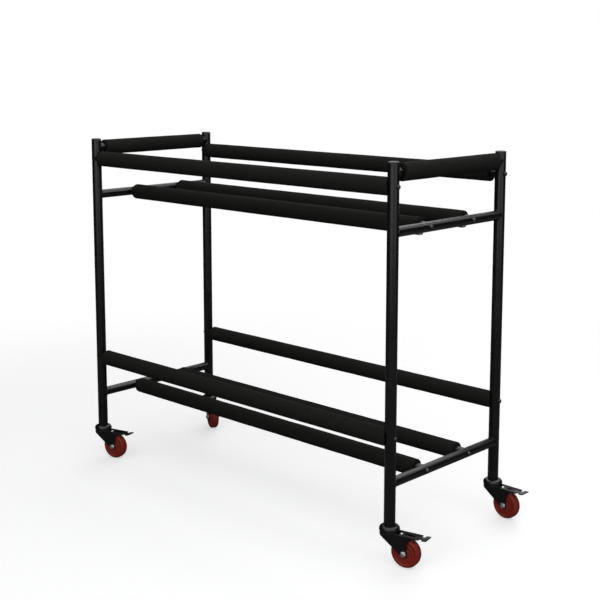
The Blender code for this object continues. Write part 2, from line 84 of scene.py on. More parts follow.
# %% [markdown]
# ## One way to make every skin
# Tubes, wheels, bolts and sheet metal are all grids: one parameter runs along the piece and the other runs
# round it. One function turns such a grid into a closed mesh. The sign of the enclosed volume tells whether
# the faces look outwards, and if they don't, the function turns them round.

# %% From a grid of points to a closed mesh
FRAME_BODY = "frame"
SHARP_ANGLE = 35.0


def skin(name, grid, finish, loop=False, flat_ends=False, place=None, body=FRAME_BODY, sharp=SHARP_ANGLE):
    """Closed mesh over a grid. Rows run along the piece, and the last column joins the first. With loop the
    last row joins the first too. Otherwise each end row is closed by one face, or by a fan to its middle."""
    grid = np.asarray(grid, dtype=float)
    rows, columns = grid.shape[:2]
    index = np.arange(rows * columns).reshape(rows, columns)
    near = index if loop else index[:-1]
    far = np.roll(index, -1, axis=0) if loop else index[1:]
    quads = np.stack([near, np.roll(near, -1, 1), np.roll(far, -1, 1), far], -1).reshape(-1, 4)
    points = grid.reshape(-1, 3)
    faces = quads.tolist()
    triangles = np.concatenate([quads[:, [0, 1, 2]], quads[:, [0, 2, 3]]])
    if not loop:
        points = np.concatenate([points, grid[0].mean(0)[None], grid[-1].mean(0)[None]])
        first = np.stack([np.roll(index[0], -1), index[0], np.full(columns, rows * columns)], -1)
        last = np.stack([index[-1], np.roll(index[-1], -1), np.full(columns, rows * columns + 1)], -1)
        fans = np.concatenate([first, last])
        triangles = np.concatenate([triangles, fans])
        faces += [index[0][::-1].tolist(), index[-1].tolist()] if flat_ends else fans.tolist()
    if place is not None:
        points = points @ place[:3, :3].T + place[:3, 3]
    volume = np.linalg.det(points[triangles]).sum()
    if volume < 0:
        faces = [face[::-1] for face in faces]
    if flat_ends:
        points = points[:-2]
    mesh = bpy.data.meshes.new(name)
    mesh.from_pydata(points, [], faces)
    mesh.validate()
    mesh.shade_smooth()
    mesh.set_sharp_from_angle(angle=math.radians(sharp))
    mesh.materials.append(finish)
    piece = bpy.data.objects.new(name, mesh)
    bpy.context.scene.collection.objects.link(piece)
    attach(piece, body)
    return piece


def softened(corners, radius, steps=4):
    """Outline or profile with each inner corner rounded: between a point this far before the corner and one
    this far after it runs the curve (1-t)(1-t) a + 2t(1-t) corner + t t b. No curve takes up more than
    nearly half of a side, so that two never meet."""
    corners = np.asarray(corners, dtype=float)
    t = np.linspace(0, 1, steps)[:, None]
    most = 0.45
    stretches = [corners[:1]]
    for before, corner, after in zip(corners, corners[1:], corners[2:]):
        reach_in = min(radius, np.linalg.norm(before - corner) * most)
        reach_out = min(radius, np.linalg.norm(after - corner) * most)
        a = corner + (before - corner) / np.linalg.norm(before - corner) * reach_in
        b = corner + (after - corner) / np.linalg.norm(after - corner) * reach_out
        stretches.append((1 - t) ** 2 * a + 2 * t * (1 - t) * corner + t**2 * b)
    stretches.append(corners[-1:])
    return np.concatenate(stretches)


def closed_soft(corners, radius, steps=4):
    """The same for a closed outline."""
    corners = np.asarray(corners, dtype=float)
    start = (corners[0] + corners[-1]) / 2
    return softened(np.concatenate([start[None], corners, start[None]]), radius, steps)[:-1]


def lay(radial_a, radial_b, along, axis):
    """Stacks two crosswise coordinates and one along the axis into x, y and z."""
    order = {
        "X": (along, radial_a, radial_b),
        "Y": (radial_b, along, radial_a),
        "Z": (radial_a, radial_b, along),
    }
    return np.stack(np.broadcast_arrays(*order[axis]), -1)


def turned_grid(profile, axis="Z", at=(0, 0, 0), columns=64, six_sided=None):
    """Solid of revolution: at angle a, row i lies at radius r_i and height h_i. Where six_sided is 1 the
    radius is that of a hexagon with corners at r_i, which is r_i cos 30 / cos(a, wrapped to +-30)."""
    profile = np.asarray(profile, dtype=float)
    angle = np.linspace(0, 2 * math.pi, columns, endpoint=False)
    radius = np.repeat(profile[:, :1], columns, axis=1)
    if six_sided is not None:
        sixth = math.pi / 3
        hexagon = math.cos(sixth / 2) / np.cos((angle + sixth / 2) % sixth - sixth / 2)
        share = np.asarray(six_sided, dtype=float)[:, None]
        radius = radius * (1 - share + share * hexagon)
    height = np.repeat(profile[:, 1:2], columns, axis=1)
    return lay(radius * np.cos(angle), radius * np.sin(angle), height, axis) + np.asarray(at)


# %% [markdown]
# ## Finishes
# Every finish below is a Principled shader fed by noise on Object coordinates, so that no two inches look
# the same. One node group, Fine Texture, is shared: it takes the coordinates, gives back a slow mottling
# for colour and roughness, and a bump normal for the grain you would feel with a fingertip.

# %% The shared texture group
def texture_group():
    """Node group: mottling is a slow noise, and the normal is a bump of a fast one."""
    group = bpy.data.node_groups.new("Fine Texture", "ShaderNodeTree")
    group.interface.new_socket("Vector", in_out="INPUT", socket_type="NodeSocketVector")
    for label, value in (("Slow Scale", 20.0), ("Grain Scale", 900.0), ("Grain Height", 0.00002)):
        socket = group.interface.new_socket(label, in_out="INPUT", socket_type="NodeSocketFloat")
        socket.default_value = value
    group.interface.new_socket("Mottling", in_out="OUTPUT", socket_type="NodeSocketFloat")
    group.interface.new_socket("Grain", in_out="OUTPUT", socket_type="NodeSocketFloat")
    group.interface.new_socket("Normal", in_out="OUTPUT", socket_type="NodeSocketVector")
    inside = group.nodes.new("NodeGroupInput")
    outside = group.nodes.new("NodeGroupOutput")
    slow = group.nodes.new("ShaderNodeTexNoise")
    grain = group.nodes.new("ShaderNodeTexNoise")
    bump = group.nodes.new("ShaderNodeBump")
    slow.inputs["Detail"].default_value = 4.0
    grain.inputs["Detail"].default_value = 2.0
    bump.inputs["Strength"].default_value = 1.0
    link = group.links.new
    link(inside.outputs["Vector"], slow.inputs["Vector"])
    link(inside.outputs["Vector"], grain.inputs["Vector"])
    link(inside.outputs["Slow Scale"], slow.inputs["Scale"])
    link(inside.outputs["Grain Scale"], grain.inputs["Scale"])
    link(grain.outputs["Fac"], bump.inputs["Height"])
    link(inside.outputs["Grain Height"], bump.inputs["Distance"])
    link(slow.outputs["Fac"], outside.inputs["Mottling"])
    link(grain.outputs["Fac"], outside.inputs["Grain"])
    link(bump.outputs["Normal"], outside.inputs["Normal"])
    return group


FINE_TEXTURE = texture_group()


def finish(name, dark, light, rough, grain_scale, grain_height, slow_scale=20.0, by_grain=False, **fixed):
    """Material whose colour runs from dark to light with the mottling or, for a pored surface, with the
    grain, and whose roughness runs over a range with the mottling. Fixed values go straight onto the
    shader's sockets."""
    made = bpy.data.materials.new(name)
    made.use_nodes = True
    nodes = made.node_tree.nodes
    link = made.node_tree.links.new
    shader = nodes["Principled BSDF"]
    where = nodes.new("ShaderNodeTexCoord")
    texture = nodes.new("ShaderNodeGroup")
    texture.node_tree = FINE_TEXTURE
    texture.inputs["Slow Scale"].default_value = slow_scale
    texture.inputs["Grain Scale"].default_value = grain_scale
    texture.inputs["Grain Height"].default_value = grain_height
    link(where.outputs["Object"], texture.inputs["Vector"])
    colour = nodes.new("ShaderNodeValToRGB")
    colour.color_ramp.elements[0].position = 0.3
    colour.color_ramp.elements[0].color = (*dark, 1)
    colour.color_ramp.elements[1].position = 0.7
    colour.color_ramp.elements[1].color = (*light, 1)
    spread = nodes.new("ShaderNodeMapRange")
    spread.inputs["From Min"].default_value = 0.3
    spread.inputs["From Max"].default_value = 0.7
    spread.inputs["To Min"].default_value = rough[0]
    spread.inputs["To Max"].default_value = rough[1]
    mask = texture.outputs["Grain" if by_grain else "Mottling"]
    link(mask, colour.inputs["Fac"])
    link(texture.outputs["Mottling"], spread.inputs["Value"])
    link(colour.outputs["Color"], shader.inputs["Base Color"])
    link(spread.outputs["Result"], shader.inputs["Roughness"])
    link(texture.outputs["Normal"], shader.inputs["Normal"])
    for label, value in fixed.items():
        shader.inputs[label.replace("_", " ")].default_value = value
    return made


# %% [markdown]
# Powder coat is a baked plastic film: black, half glossy, with a faint orange peel. Foam is closed-cell
# rubber foam, matt and pored, so its shader hardly mirrors anything. The casters wear a smoother paint, the
# axle bolts are zinc plated, and the wheels are a dark red rubber.

# %% The finishes themselves
POWDER = finish(
    "powder coat", (0.0016, 0.0016, 0.0018), (0.0030, 0.0030, 0.0033), (0.24, 0.34), 700, 0.000025,
    Specular_IOR_Level=0.5,
)
FOAM = finish(
    "closed-cell foam", (0.0120, 0.0120, 0.0110), (0.0260, 0.0260, 0.0240), (0.75, 0.90), 1500, 0.00012,
    by_grain=True, Specular_IOR_Level=0.03,
)
CAP = finish(
    "cap plastic", (0.003, 0.003, 0.003), (0.007, 0.007, 0.007), (0.40, 0.50), 1200, 0.00002,
    Specular_IOR_Level=0.5,
)
PAINT = finish(
    "caster paint", (0.0020, 0.0020, 0.0023), (0.0038, 0.0038, 0.0042), (0.20, 0.30), 500, 0.00002,
    Specular_IOR_Level=0.45,
)
BLACK_STEEL = finish(
    "black bolt steel", (0.005, 0.005, 0.005), (0.010, 0.010, 0.010), (0.25, 0.38), 2500, 0.00001,
    Specular_IOR_Level=0.8,
)
ZINC = finish(
    "zinc plate", (0.60, 0.60, 0.58), (0.82, 0.82, 0.80), (0.22, 0.36), 1500, 0.00001,
    slow_scale=300, Metallic=1.0,
)
RED_RUBBER = finish(
    "dark red rubber", (0.225, 0.0190, 0.0105), (0.300, 0.0290, 0.0160), (0.42, 0.58), 900, 0.00003,
    slow_scale=60, Specular_IOR_Level=0.22,
)
print("finishes:", len(bpy.data.materials))

# %% [markdown]
# ## Posts and caps
# Each post is a straight drawn tube. Its visible part runs from the caster's collar to the cap, so one
# turned skin does it, with a tiny rounded lip at both ends. The cap is a moulded plug whose edge is
# rounded over, and only its head shows.

# %% Posts
LIP = 0.0006
CAP_HEAD = 0.005
CAP_RIM = 0.0022
CAP_FLAT_SHARE = 0.63
CAP_STUB_SHARE = 0.8


def post_skin(corner):
    """Upright cylinder with rounded lips."""
    node = f"post_{corner}"
    low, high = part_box(node)
    x, y, _ = middle(node)
    inner = POST_RADIUS - LIP * 2
    profile = [(inner, low[2]), (POST_RADIUS, low[2]), (POST_RADIUS, high[2]), (inner, high[2])]
    piece = skin(f"post_skin_{corner}", turned_grid(softened(profile, LIP), at=(x, y, 0)), POWDER)
    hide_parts(node)


def cap_skin(corner):
    """Cap: a low dome edge from the tube's radius to a flat top, over a stub that hides in the tube."""
    node = f"cap_{corner}"
    low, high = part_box(node)
    x, y, _ = middle(node)
    seat = high[2] - CAP_HEAD
    edge = seat + CAP_RIM
    stub = POST_RADIUS * CAP_STUB_SHARE
    flat = POST_RADIUS * CAP_FLAT_SHARE
    profile = [(stub, low[2]), (stub, seat), (POST_RADIUS, seat), (POST_RADIUS, edge)]
    curve = np.linspace(0, math.pi / 2, 9)
    width = flat + (POST_RADIUS - flat) * np.cos(curve)
    dome = np.stack([width, edge + (high[2] - edge) * np.sin(curve)], -1)
    grid = turned_grid(np.concatenate([profile, dome[1:]]), at=(x, y, 0))
    piece = skin(f"cap_skin_{corner}", grid, CAP)
    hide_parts(node)


for corner in CORNERS:
    post_skin(corner)
    cap_skin(corner)

# %% [markdown]
# ## Rails, cross tubes and end bars
# Where one round tube meets another, its end is cut to a saddle. A point on the wall that stands w to the
# side of the middle meets a tube of radius R at a distance of the square root of R R - w w from its axis.
# That formula shapes both ends of every rail.

# %% Saddle-cut tubes
SADDLE_SINK = 0.0002
COLUMNS = 64


def saddle_tube(name, axis, at, half_span, seat_radius, level_seat):
    """Tube between two seats at plus and minus half_span. A level seat lies across the rail's height, and
    any other stands upright, which decides the sideways offset w."""
    angle = np.linspace(0, 2 * math.pi, COLUMNS, endpoint=False)
    first = TUBE_RADIUS * np.cos(angle)
    second = TUBE_RADIUS * np.sin(angle)
    upright, sideways = (second, first) if axis == "X" else (first, second)
    offset = upright if level_seat else sideways
    reach = half_span - np.sqrt(np.maximum(seat_radius**2 - offset**2, 0)) + SADDLE_SINK
    share = np.linspace(-1, 1, 9)[:, None]
    return skin(name, lay(first, second, reach * share, axis) + np.asarray(at), POWDER)


post_x = middle("post_front_right")[0]
post_y = middle("post_back_right")[1]
for tier in TIERS:
    for side in SIDES:
        for kind, seat, level in (("side_rail", POST_RADIUS, False), ("rest_rail", TUBE_RADIUS, True)):
            node = f"{kind}_{tier}_{side}"
            rail = saddle_tube(f"{node}_skin", "X", middle(node), post_x, seat, level)
            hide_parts(node)

cross_heights = {tier: middle(f"rest_rail_{tier}_front")[2] for tier in TIERS}
end_height = middle("end_bar_right")[2]
crossings = {f"cross_tube_{tier}_{end}": cross_heights[tier] for tier in TIERS for end in ENDS}
crossings.update({f"end_bar_{end}": end_height for end in ENDS})
for node, height in crossings.items():
    x = post_x if node.endswith("right") else -post_x
    bar = saddle_tube(f"{node}_skin", "Y", (x, 0, height), post_y, POST_RADIUS, False)
    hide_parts(node)

# %% [markdown]
# ## Weld beads
# The cross tubes and end bars are welded to the posts, under the same powder coat. A bead is a thin ring
# that follows the saddle line. Its thickness swells and shrinks a little, once for every drop of weld.

# %% Beads round the saddle lines
BEAD_RADIUS = 0.0017
BEAD_DROPS = 26
BEAD_SWELL = 0.12
BEAD_FLATNESS = 0.8


def weld_bead(name, x, side, height):
    """Ring along the saddle line. At angle a round the tube the line lies sqrt(R R - w w) from the post's
    axis, and a small circle of radius b (1 + swell cos(drops a)) is carried along it."""
    a = np.linspace(0, 2 * math.pi, 208, endpoint=False)
    b = np.linspace(0, 2 * math.pi, 10, endpoint=False)[:, None]
    w = TUBE_RADIUS * np.sin(a)
    up = TUBE_RADIUS * np.cos(a)
    distance = np.sqrt(POST_RADIUS**2 - w**2)
    girth = BEAD_RADIUS * (1 + BEAD_SWELL * np.cos(BEAD_DROPS * a))
    outward = girth * np.cos(b)
    along = girth * np.sin(b)
    grid = np.stack(
        [
            x + w + outward * np.sin(a),
            side * (post_y - distance - along * BEAD_FLATNESS),
            height + up + outward * np.cos(a),
        ],
        -1,
    )
    bead = skin(name, grid, POWDER, loop=True)


for node, height in crossings.items():
    x = post_x if node.endswith("right") else -post_x
    for label, side in (("front", -1), ("back", 1)):
        weld_bead(f"weld_{node}_{label}", x, side, height)
print("weld beads:", 2 * len(crossings))

# %% [markdown]
# ## Foam sleeves
# The sleeves are lengths of foam pipe pushed over the rails. Foam is cut with a knife, so its ends are flat
# with a soft edge, and its wall is never quite even: two slow waves along the sleeve and one round it move
# the surface by a fraction of a millimetre. A side sleeve has slid until it wraps part of the way round a
# post, and there each point ends where the post's own roundness lets it.

# %% Foam surfaces
FOAM_EDGE = 0.0022
TOUCH_GAP = 0.0003
FOAM_BORE = TUBE_RADIUS + TOUCH_GAP
WAVE = 0.00022
LONG_WAVE = 23
SHORT_WAVE = 71
FOAM_RINGS = 42


def foam_sleeve(node, axis, posts):
    """Closed tube of foam. The wall's radius is R + wave / 2 (sin(k x + p) + sin(m x + 2 p) sin(a + p) - 2),
    which never passes R, and near a post at distance d the end lies no further than d - sqrt(G G - w w),
    with G the post's radius and the touching gap."""
    low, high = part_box(node)
    centre = middle(node)
    along = 0 if axis == "X" else 1
    radius = half_size(node)[2]
    start, stop = low[along], high[along]
    corners = [
        (FOAM_BORE, start),
        (radius, start),
        *[(radius, value) for value in np.linspace(start, stop, FOAM_RINGS)[1:-1]],
        (radius, stop),
        (FOAM_BORE, stop),
    ]
    profile = softened(corners, FOAM_EDGE, 6)
    angle = np.linspace(0, 2 * math.pi, 72, endpoint=False)
    s = profile[:, 1:2]
    outer = (profile[:, :1] - FOAM_BORE) / (radius - FOAM_BORE)
    phase = sum(map(ord, node)) % 17
    wave = np.sin(LONG_WAVE * s + phase) + np.sin(SHORT_WAVE * s + 2 * phase) * np.sin(angle + phase)
    r = profile[:, :1] + WAVE * outer * (wave - 2) / 2
    first = r * np.cos(angle)
    second = r * np.sin(angle)
    if posts:
        w = first if axis == "X" else second
        gap = POST_RADIUS + TOUCH_GAP
        room = post_x - np.sqrt(np.maximum(gap**2 - w**2, 0))
        low_end = np.maximum(start, -room)
        high_end = np.minimum(stop, room)
        mid = (start + stop) / 2
        towards_stop = mid + (s - mid) * (high_end - mid) / (stop - mid)
        towards_start = mid - (mid - s) * (mid - low_end) / (mid - start)
        s = np.where(s > mid, towards_stop, towards_start)
    at = centre.copy()
    at[along] = 0
    sleeve = skin(f"{node}_foam", lay(first, second, s + 0 * first, axis) + at, FOAM, loop=True, sharp=60)
    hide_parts(node)


for tier in TIERS:
    for side in SIDES:
        foam_sleeve(f"side_sleeve_{tier}_{side}", "X", True)
        foam_sleeve(f"rest_sleeve_{tier}_{side}", "X", False)
for end in ENDS:
    foam_sleeve(f"end_sleeve_{end}", "Y", False)

# %% [markdown]
# ## Bolts through posts and cross tubes
# A button-head bolt with a saddle washer holds every rail. The washer's underside is curved to suit the
# tube, so its lowest row follows the tube's circle. The head has a hexagonal socket, which is a turned
# recess whose radius is a hexagon's.

# %% Button-head bolts
SADDLE_RADIUS = 0.0065
SADDLE_TOP = 0.0022
HEAD_RADIUS = 0.00525
HEAD_COLLAR = 0.0008
HEAD_TOP = 0.0055
SOCKET_RADIUS = 0.0023
SOCKET_DEPTH = 0.0016
BOLT_EDGE = 0.0003


def button_bolt(name, at, way, seat_radius, level_seat):
    """Turned washer, domed head and six-sided socket along X, with the lowest row laid on the tube."""
    dome = np.linspace(0.25, math.pi / 2 - 0.45, 6)
    dome_base = SADDLE_TOP + 0.0004
    dome_height = 0.0030
    head = np.stack([HEAD_RADIUS * np.cos(dome), dome_base + dome_height * np.sin(dome)], -1)
    floor = HEAD_TOP - SOCKET_DEPTH
    rows = np.concatenate(
        [
            [(SADDLE_RADIUS, 0), (SADDLE_RADIUS, SADDLE_TOP - BOLT_EDGE)],
            [(SADDLE_RADIUS - BOLT_EDGE, SADDLE_TOP)],
            [(HEAD_RADIUS, SADDLE_TOP), (HEAD_RADIUS, SADDLE_TOP + HEAD_COLLAR)],
            head,
            [(SOCKET_RADIUS + 0.0002, HEAD_TOP - 0.0001), (SOCKET_RADIUS, HEAD_TOP - BOLT_EDGE)],
            [(SOCKET_RADIUS, floor), (0.0002, floor - BOLT_EDGE)],
        ]
    )
    six = np.zeros(len(rows))
    six[-3:] = 1
    grid = turned_grid(rows, axis="X", columns=48, six_sided=six)
    across = grid[0, :, 2] if level_seat else grid[0, :, 1]
    grid[..., 0] += seat_radius
    grid[0, :, 0] = np.sqrt(seat_radius**2 - across**2) - 0.0002
    grid[..., 0] *= way
    return skin(name, grid + np.asarray(at), BLACK_STEEL)


for corner in CORNERS:
    x, y, _ = middle(f"post_{corner}")
    for tier in TIERS:
        at = (x, y, middle(f"side_rail_{tier}_front")[2])
        way = math.copysign(1, x)
        bolt = button_bolt(f"post_bolt_skin_{tier}_{corner}", at, way, POST_RADIUS, False)
        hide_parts(f"post_bolt_{tier}_{corner}")
for tier in TIERS:
    for end, way in (("right", 1), ("left", -1)):
        for side in SIDES:
            at = (way * post_x, middle(f"rest_rail_{tier}_{side}")[1], cross_heights[tier])
            bolt = button_bolt(f"cross_bolt_{tier}_{end}_{side}", at, way, TUBE_RADIUS, True)

# %% [markdown]
# ## Nuts under the upper rest rails
# A small zinc nut shows below each end of the upper rest rails, where an upright bolt locks the rail. It is
# six-sided with a round flange, and the bolt's end stands a little way out of it.

# %% Flanged lock nuts
NUT_INSET = 0.019
NUT_LOW = 0.0215
FLANGE_RADIUS = 0.0066
NUT_RADIUS = 0.0054
BOLT_END_RADIUS = 0.0030


def lock_nut(name, x, y, height):
    """Upright turned piece: flange, six-sided nut and rounded bolt end, hung below the rail's axis."""
    rows = [
        (0.0050, TUBE_RADIUS - 0.001),
        (FLANGE_RADIUS, TUBE_RADIUS + 0.0004),
        (FLANGE_RADIUS, TUBE_RADIUS + 0.0014),
        (NUT_RADIUS, TUBE_RADIUS + 0.0020),
        (NUT_RADIUS, NUT_LOW - 0.0018),
        (0.0048, NUT_LOW - 0.0012),
        (BOLT_END_RADIUS, NUT_LOW - 0.0012),
        (BOLT_END_RADIUS, NUT_LOW - 0.0005),
        (0.0022, NUT_LOW),
    ]
    flipped = [(radius, -drop) for radius, drop in rows]
    six = [0, 0, 0, 1, 1, 0.6, 0, 0, 0]
    nut = skin(name, turned_grid(flipped, at=(x, y, height), columns=48, six_sided=six), ZINC)


for side in SIDES:
    y = middle(f"rest_rail_upper_{side}")[1]
    for end, way in (("right", 1), ("left", -1)):
        lock_nut(f"lock_nut_{end}_{side}", way * (post_x - NUT_INSET), y, cross_heights["upper"])

# %% [markdown]
# ## Casters
# A caster has its own small frame of reference: t runs the way it trails, s across it, and z is the height
# above the floor. The joints say where the swivel axis and the axle are, so a matrix can carry each piece
# from that frame into the rack's.

# %% The caster's own frame
joint_named = {joint["name"]: joint for joint in frame["joints"]}


def caster_matrix(corner):
    """Turns t, s, z about the upright and moves the origin to the floor under the swivel axis."""
    swivel = np.array(joint_named[f"{corner}_swivel"]["pos_m"], dtype=float)
    axle = np.array(joint_named[f"{corner}_wheel_spin"]["pos_m"], dtype=float)
    ahead = axle[:2] - swivel[:2]
    ahead = ahead / np.linalg.norm(ahead)
    matrix = np.eye(4)
    matrix[:2, 0] = ahead
    matrix[:2, 1] = (-ahead[1], ahead[0])
    matrix[:2, 3] = swivel[:2]
    return matrix


first_swivel = np.array(joint_named["front_right_swivel"]["pos_m"])
first_axle = np.array(joint_named["front_right_wheel_spin"]["pos_m"])
first_pin = np.array(joint_named["front_right_brake_press"]["pos_m"])
TRAIL = float(np.linalg.norm((first_axle - first_swivel)[:2]))
AXLE_Z = float(first_axle[2])
PIN_T = float(np.linalg.norm((first_pin - first_swivel)[:2]))
PIN_Z = float(first_pin[2])
LEG_IN = 0.0135
LEG_OUT = 0.0160
ARM_END = TRAIL + 0.038
print("trail", round(TRAIL * 1000, 1), "mm, axle at", round(AXLE_Z * 1000, 1), "mm")

# %% [markdown]
# The swivel head is a turned cup: a dome that spreads from the post to a short upright rim, then a groove
# where the bearing lies. Below it sits the fork's round crown.

# %% Swivel heads
RIM_HEIGHT = 0.0024
DOME_HEIGHT = 0.0090
HEAD_EDGE = 0.0006
RACE_RADIUS = 0.0190
RACE_HEIGHT = 0.0007
STEM_RADIUS = 0.0055
STEM_HEIGHT = 0.026
KINGPIN_RADIUS = 0.0060
KINGPIN_HEAD = (0.0090, 0.002)


def head_skin(corner):
    """Turned dome, rim and race, from the post's foot down to the kingpin's head."""
    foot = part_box(f"post_{corner}")[0][2]
    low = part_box(f"swivel_head_{corner}")[0][2]
    radius = half_size(f"swivel_head_{corner}")[0]
    shoulder = foot - DOME_HEIGHT
    bottom = shoulder - RIM_HEIGHT
    race = bottom - RACE_HEIGHT
    top = foot + HEAD_EDGE
    curve = np.linspace(math.pi / 2, 0, 14)
    lip = POST_RADIUS + 0.0012
    around = POST_RADIUS + 0.0002
    seat = foot - 0.0002
    dome = np.stack([lip + (radius - lip) * np.cos(curve), shoulder + (top - shoulder) * np.sin(curve)], -1)
    pin_radius, pin_height = KINGPIN_HEAD
    profile = np.concatenate(
        [
            [(STEM_RADIUS - 0.0002, foot + STEM_HEIGHT), (STEM_RADIUS, foot + STEM_HEIGHT - 0.0005)],
            [(STEM_RADIUS, seat), (around, seat), (around, top)],
            dome,
            [(radius, bottom + HEAD_EDGE), (radius - HEAD_EDGE, bottom)],
            [(RACE_RADIUS, bottom), (RACE_RADIUS, race), (KINGPIN_RADIUS, race)],
            [(KINGPIN_RADIUS, low + pin_height), (pin_radius, low + pin_height), (pin_radius, low)],
        ]
    )
    x, y, _ = middle(f"post_{corner}")
    piece = skin(f"swivel_head_skin_{corner}", turned_grid(profile, at=(x, y, 0)), PAINT)
    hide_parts(f"swivel_head_{corner}")


for corner in CORNERS:
    head_skin(corner)

# %% [markdown]
# The fork is pressed steel. Each leg is a plate: its outline goes down the front, slopes to the round boss
# at the axle, and sweeps up and back under the arm that guards the pedal. The plate's edge is rolled over,
# so the outline is drawn in by a small amount at both faces.

# %% Plates with rolled edges
def plate_grid(outline, low, high, edge, plane):
    """Rows of one closed outline: drawn in by e (1 - cos q) where the height is e (1 - sin q) from a face.
    The draw is along the outline's own normal, which is its direction turned by a right angle."""
    ahead = np.roll(outline, -1, 0) - np.roll(outline, 1, 0)
    normal = np.stack([ahead[:, 1], -ahead[:, 0]], -1)
    normal /= np.linalg.norm(normal, axis=1)[:, None]
    area = (outline[:, 0] * np.roll(outline[:, 1], -1) - outline[:, 1] * np.roll(outline[:, 0], -1)).sum()
    normal *= math.copysign(1, area)
    turn = np.linspace(0, math.pi / 2, 4)
    draw = np.concatenate([edge * (1 - np.sin(turn)), edge * (1 - np.cos(turn))])
    level = np.concatenate([low + edge * (1 - np.cos(turn)), high - edge * (1 - np.sin(turn))])
    flat = outline[None] - normal[None] * draw[:, None, None]
    depth = np.repeat(level[:, None], len(outline), axis=1)
    if plane == "tz":
        return np.stack([flat[..., 0], depth, flat[..., 1]], -1)
    return np.stack([flat[..., 0], flat[..., 1], depth], -1)


LEG_ABOVE_PIN = 0.0023
LEG_FRONT = -0.019
LEG_FRONT_DEPTH = 0.010
BOSS_RADIUS = 0.0095
NECK_BEHIND_AXLE = 0.007
NECK_ABOVE_AXLE = 0.0205
ARM_DEPTH = 0.003


def leg_outline():
    """Corners and arcs of a fork leg in t and z. The slope in front is the boss's tangent, and the hollow
    behind it is a quarter of an ellipse."""
    boss = BOSS_RADIUS
    top = PIN_Z + LEG_ABOVE_PIN
    front = LEG_FRONT
    front_low = top - LEG_FRONT_DEPTH
    run = TRAIL - front
    drop = front_low - AXLE_Z
    first = math.radians(-90) - math.atan2(drop, run) - math.asin(boss / math.hypot(run, drop))
    a = np.linspace(first, 0, 16)
    arc = np.stack([TRAIL + boss * np.cos(a), AXLE_Z + boss * np.sin(a)], -1)
    neck = np.array([TRAIL + NECK_BEHIND_AXLE, AXLE_Z + NECK_ABOVE_AXLE])
    q = np.linspace(0, math.pi / 2, 18)
    hollow_width = ARM_END - neck[0]
    hollow_height = top - ARM_DEPTH - neck[1]
    sweep = np.stack([ARM_END - hollow_width * np.cos(q), neck[1] + hollow_height * np.sin(q)], -1)
    head = softened([(0.0, top), (front, top), (front, front_low), tuple(arc[0])], 0.004, 6)
    tail = softened([tuple(sweep[-1]), (ARM_END, top), (0.0, top)], 0.001, 3)
    return np.concatenate([head[:-1], arc, sweep[:-1], tail[:-1]])


CROWN_ABOVE_WHEEL = 0.0005
CROWN_HEIGHT = 0.0091
CROWN_RADIUS = 0.0243
CROWN_BORE = 0.0062
PLATE_EDGE = 0.0007


def fork_skin(corner):
    """Two legs and a crown with a hole for the kingpin."""
    place = caster_matrix(corner)
    body = f"caster_{corner}"
    outline = leg_outline()
    low_z = 2 * AXLE_Z + CROWN_ABOVE_WHEEL
    high_z = low_z + CROWN_HEIGHT
    pieces = []
    for label, low, high in (("seen", -LEG_OUT, -LEG_IN), ("far", LEG_IN, LEG_OUT)):
        grid = plate_grid(outline, low, high, PLATE_EDGE, "tz")
        name = f"fork_leg_{label}_{corner}"
        pieces.append(skin(name, grid, PAINT, flat_ends=True, place=place, body=body))
    ring = [(CROWN_BORE, low_z), (CROWN_RADIUS, low_z), (CROWN_RADIUS, high_z), (CROWN_BORE, high_z)]
    grid = turned_grid(closed_soft(ring, 0.0012))
    pieces.append(skin(f"fork_crown_{corner}", grid, PAINT, loop=True, place=place, body=body))
    for piece in pieces:
        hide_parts(f"fork_{corner}")


for corner in CORNERS:
    fork_skin(corner)

# %% [markdown]
# The wheel is one moulding: a flat tread with rounded shoulders, a shallow dish on each face with a raised
# ring, and a hub that nearly meets the fork's legs. It is turned about its axle, and so is the axle bolt,
# whose head and nut are six-sided.

# %% Wheels and axle bolts
WHEEL_BORE = 0.0041
HUB_RADIUS = 0.0085
HUB_FACE = 0.0132
DISH_FACE = 0.0092
RING_FACE = 0.0104
RIM_FACE = 0.0120
TREAD_HALF = 0.0055
WHEEL_SOFTNESS = 0.0008


def wheel_skin(corner):
    """Turned profile, mirrored about the wheel's middle plane: hub, dish, ring, dish, rim and tread."""
    half = [
        (WHEEL_BORE, HUB_FACE),
        (HUB_RADIUS, HUB_FACE),
        (0.0100, 0.0120),
        (0.0115, 0.0098),
        (0.0180, DISH_FACE),
        (0.0195, RING_FACE),
        (0.0215, RING_FACE),
        (0.0230, DISH_FACE),
        (0.0275, 0.0096),
        (0.0295, 0.0118),
        (0.0325, RIM_FACE),
        (AXLE_Z - 0.0012, 0.0090),
        (AXLE_Z, TREAD_HALF),
        (AXLE_Z, 0.0),
    ]
    profile = half + [(radius, -height) for radius, height in reversed(half[:-1])]
    rounded = closed_soft(profile, WHEEL_SOFTNESS, 5)
    place = caster_matrix(corner)
    grid = turned_grid(rounded, axis="Y", at=(TRAIL, 0, AXLE_Z), columns=96)
    body = f"wheel_{corner}_body"
    piece = skin(f"wheel_skin_{corner}", grid, RED_RUBBER, loop=True, place=place, body=body)
    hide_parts(f"wheel_{corner}")


AXLE_RADIUS = 0.0040
AXLE_HEAD = 0.0068
WASHER_RADIUS = 0.0072
WASHER_SEAT = 0.0163


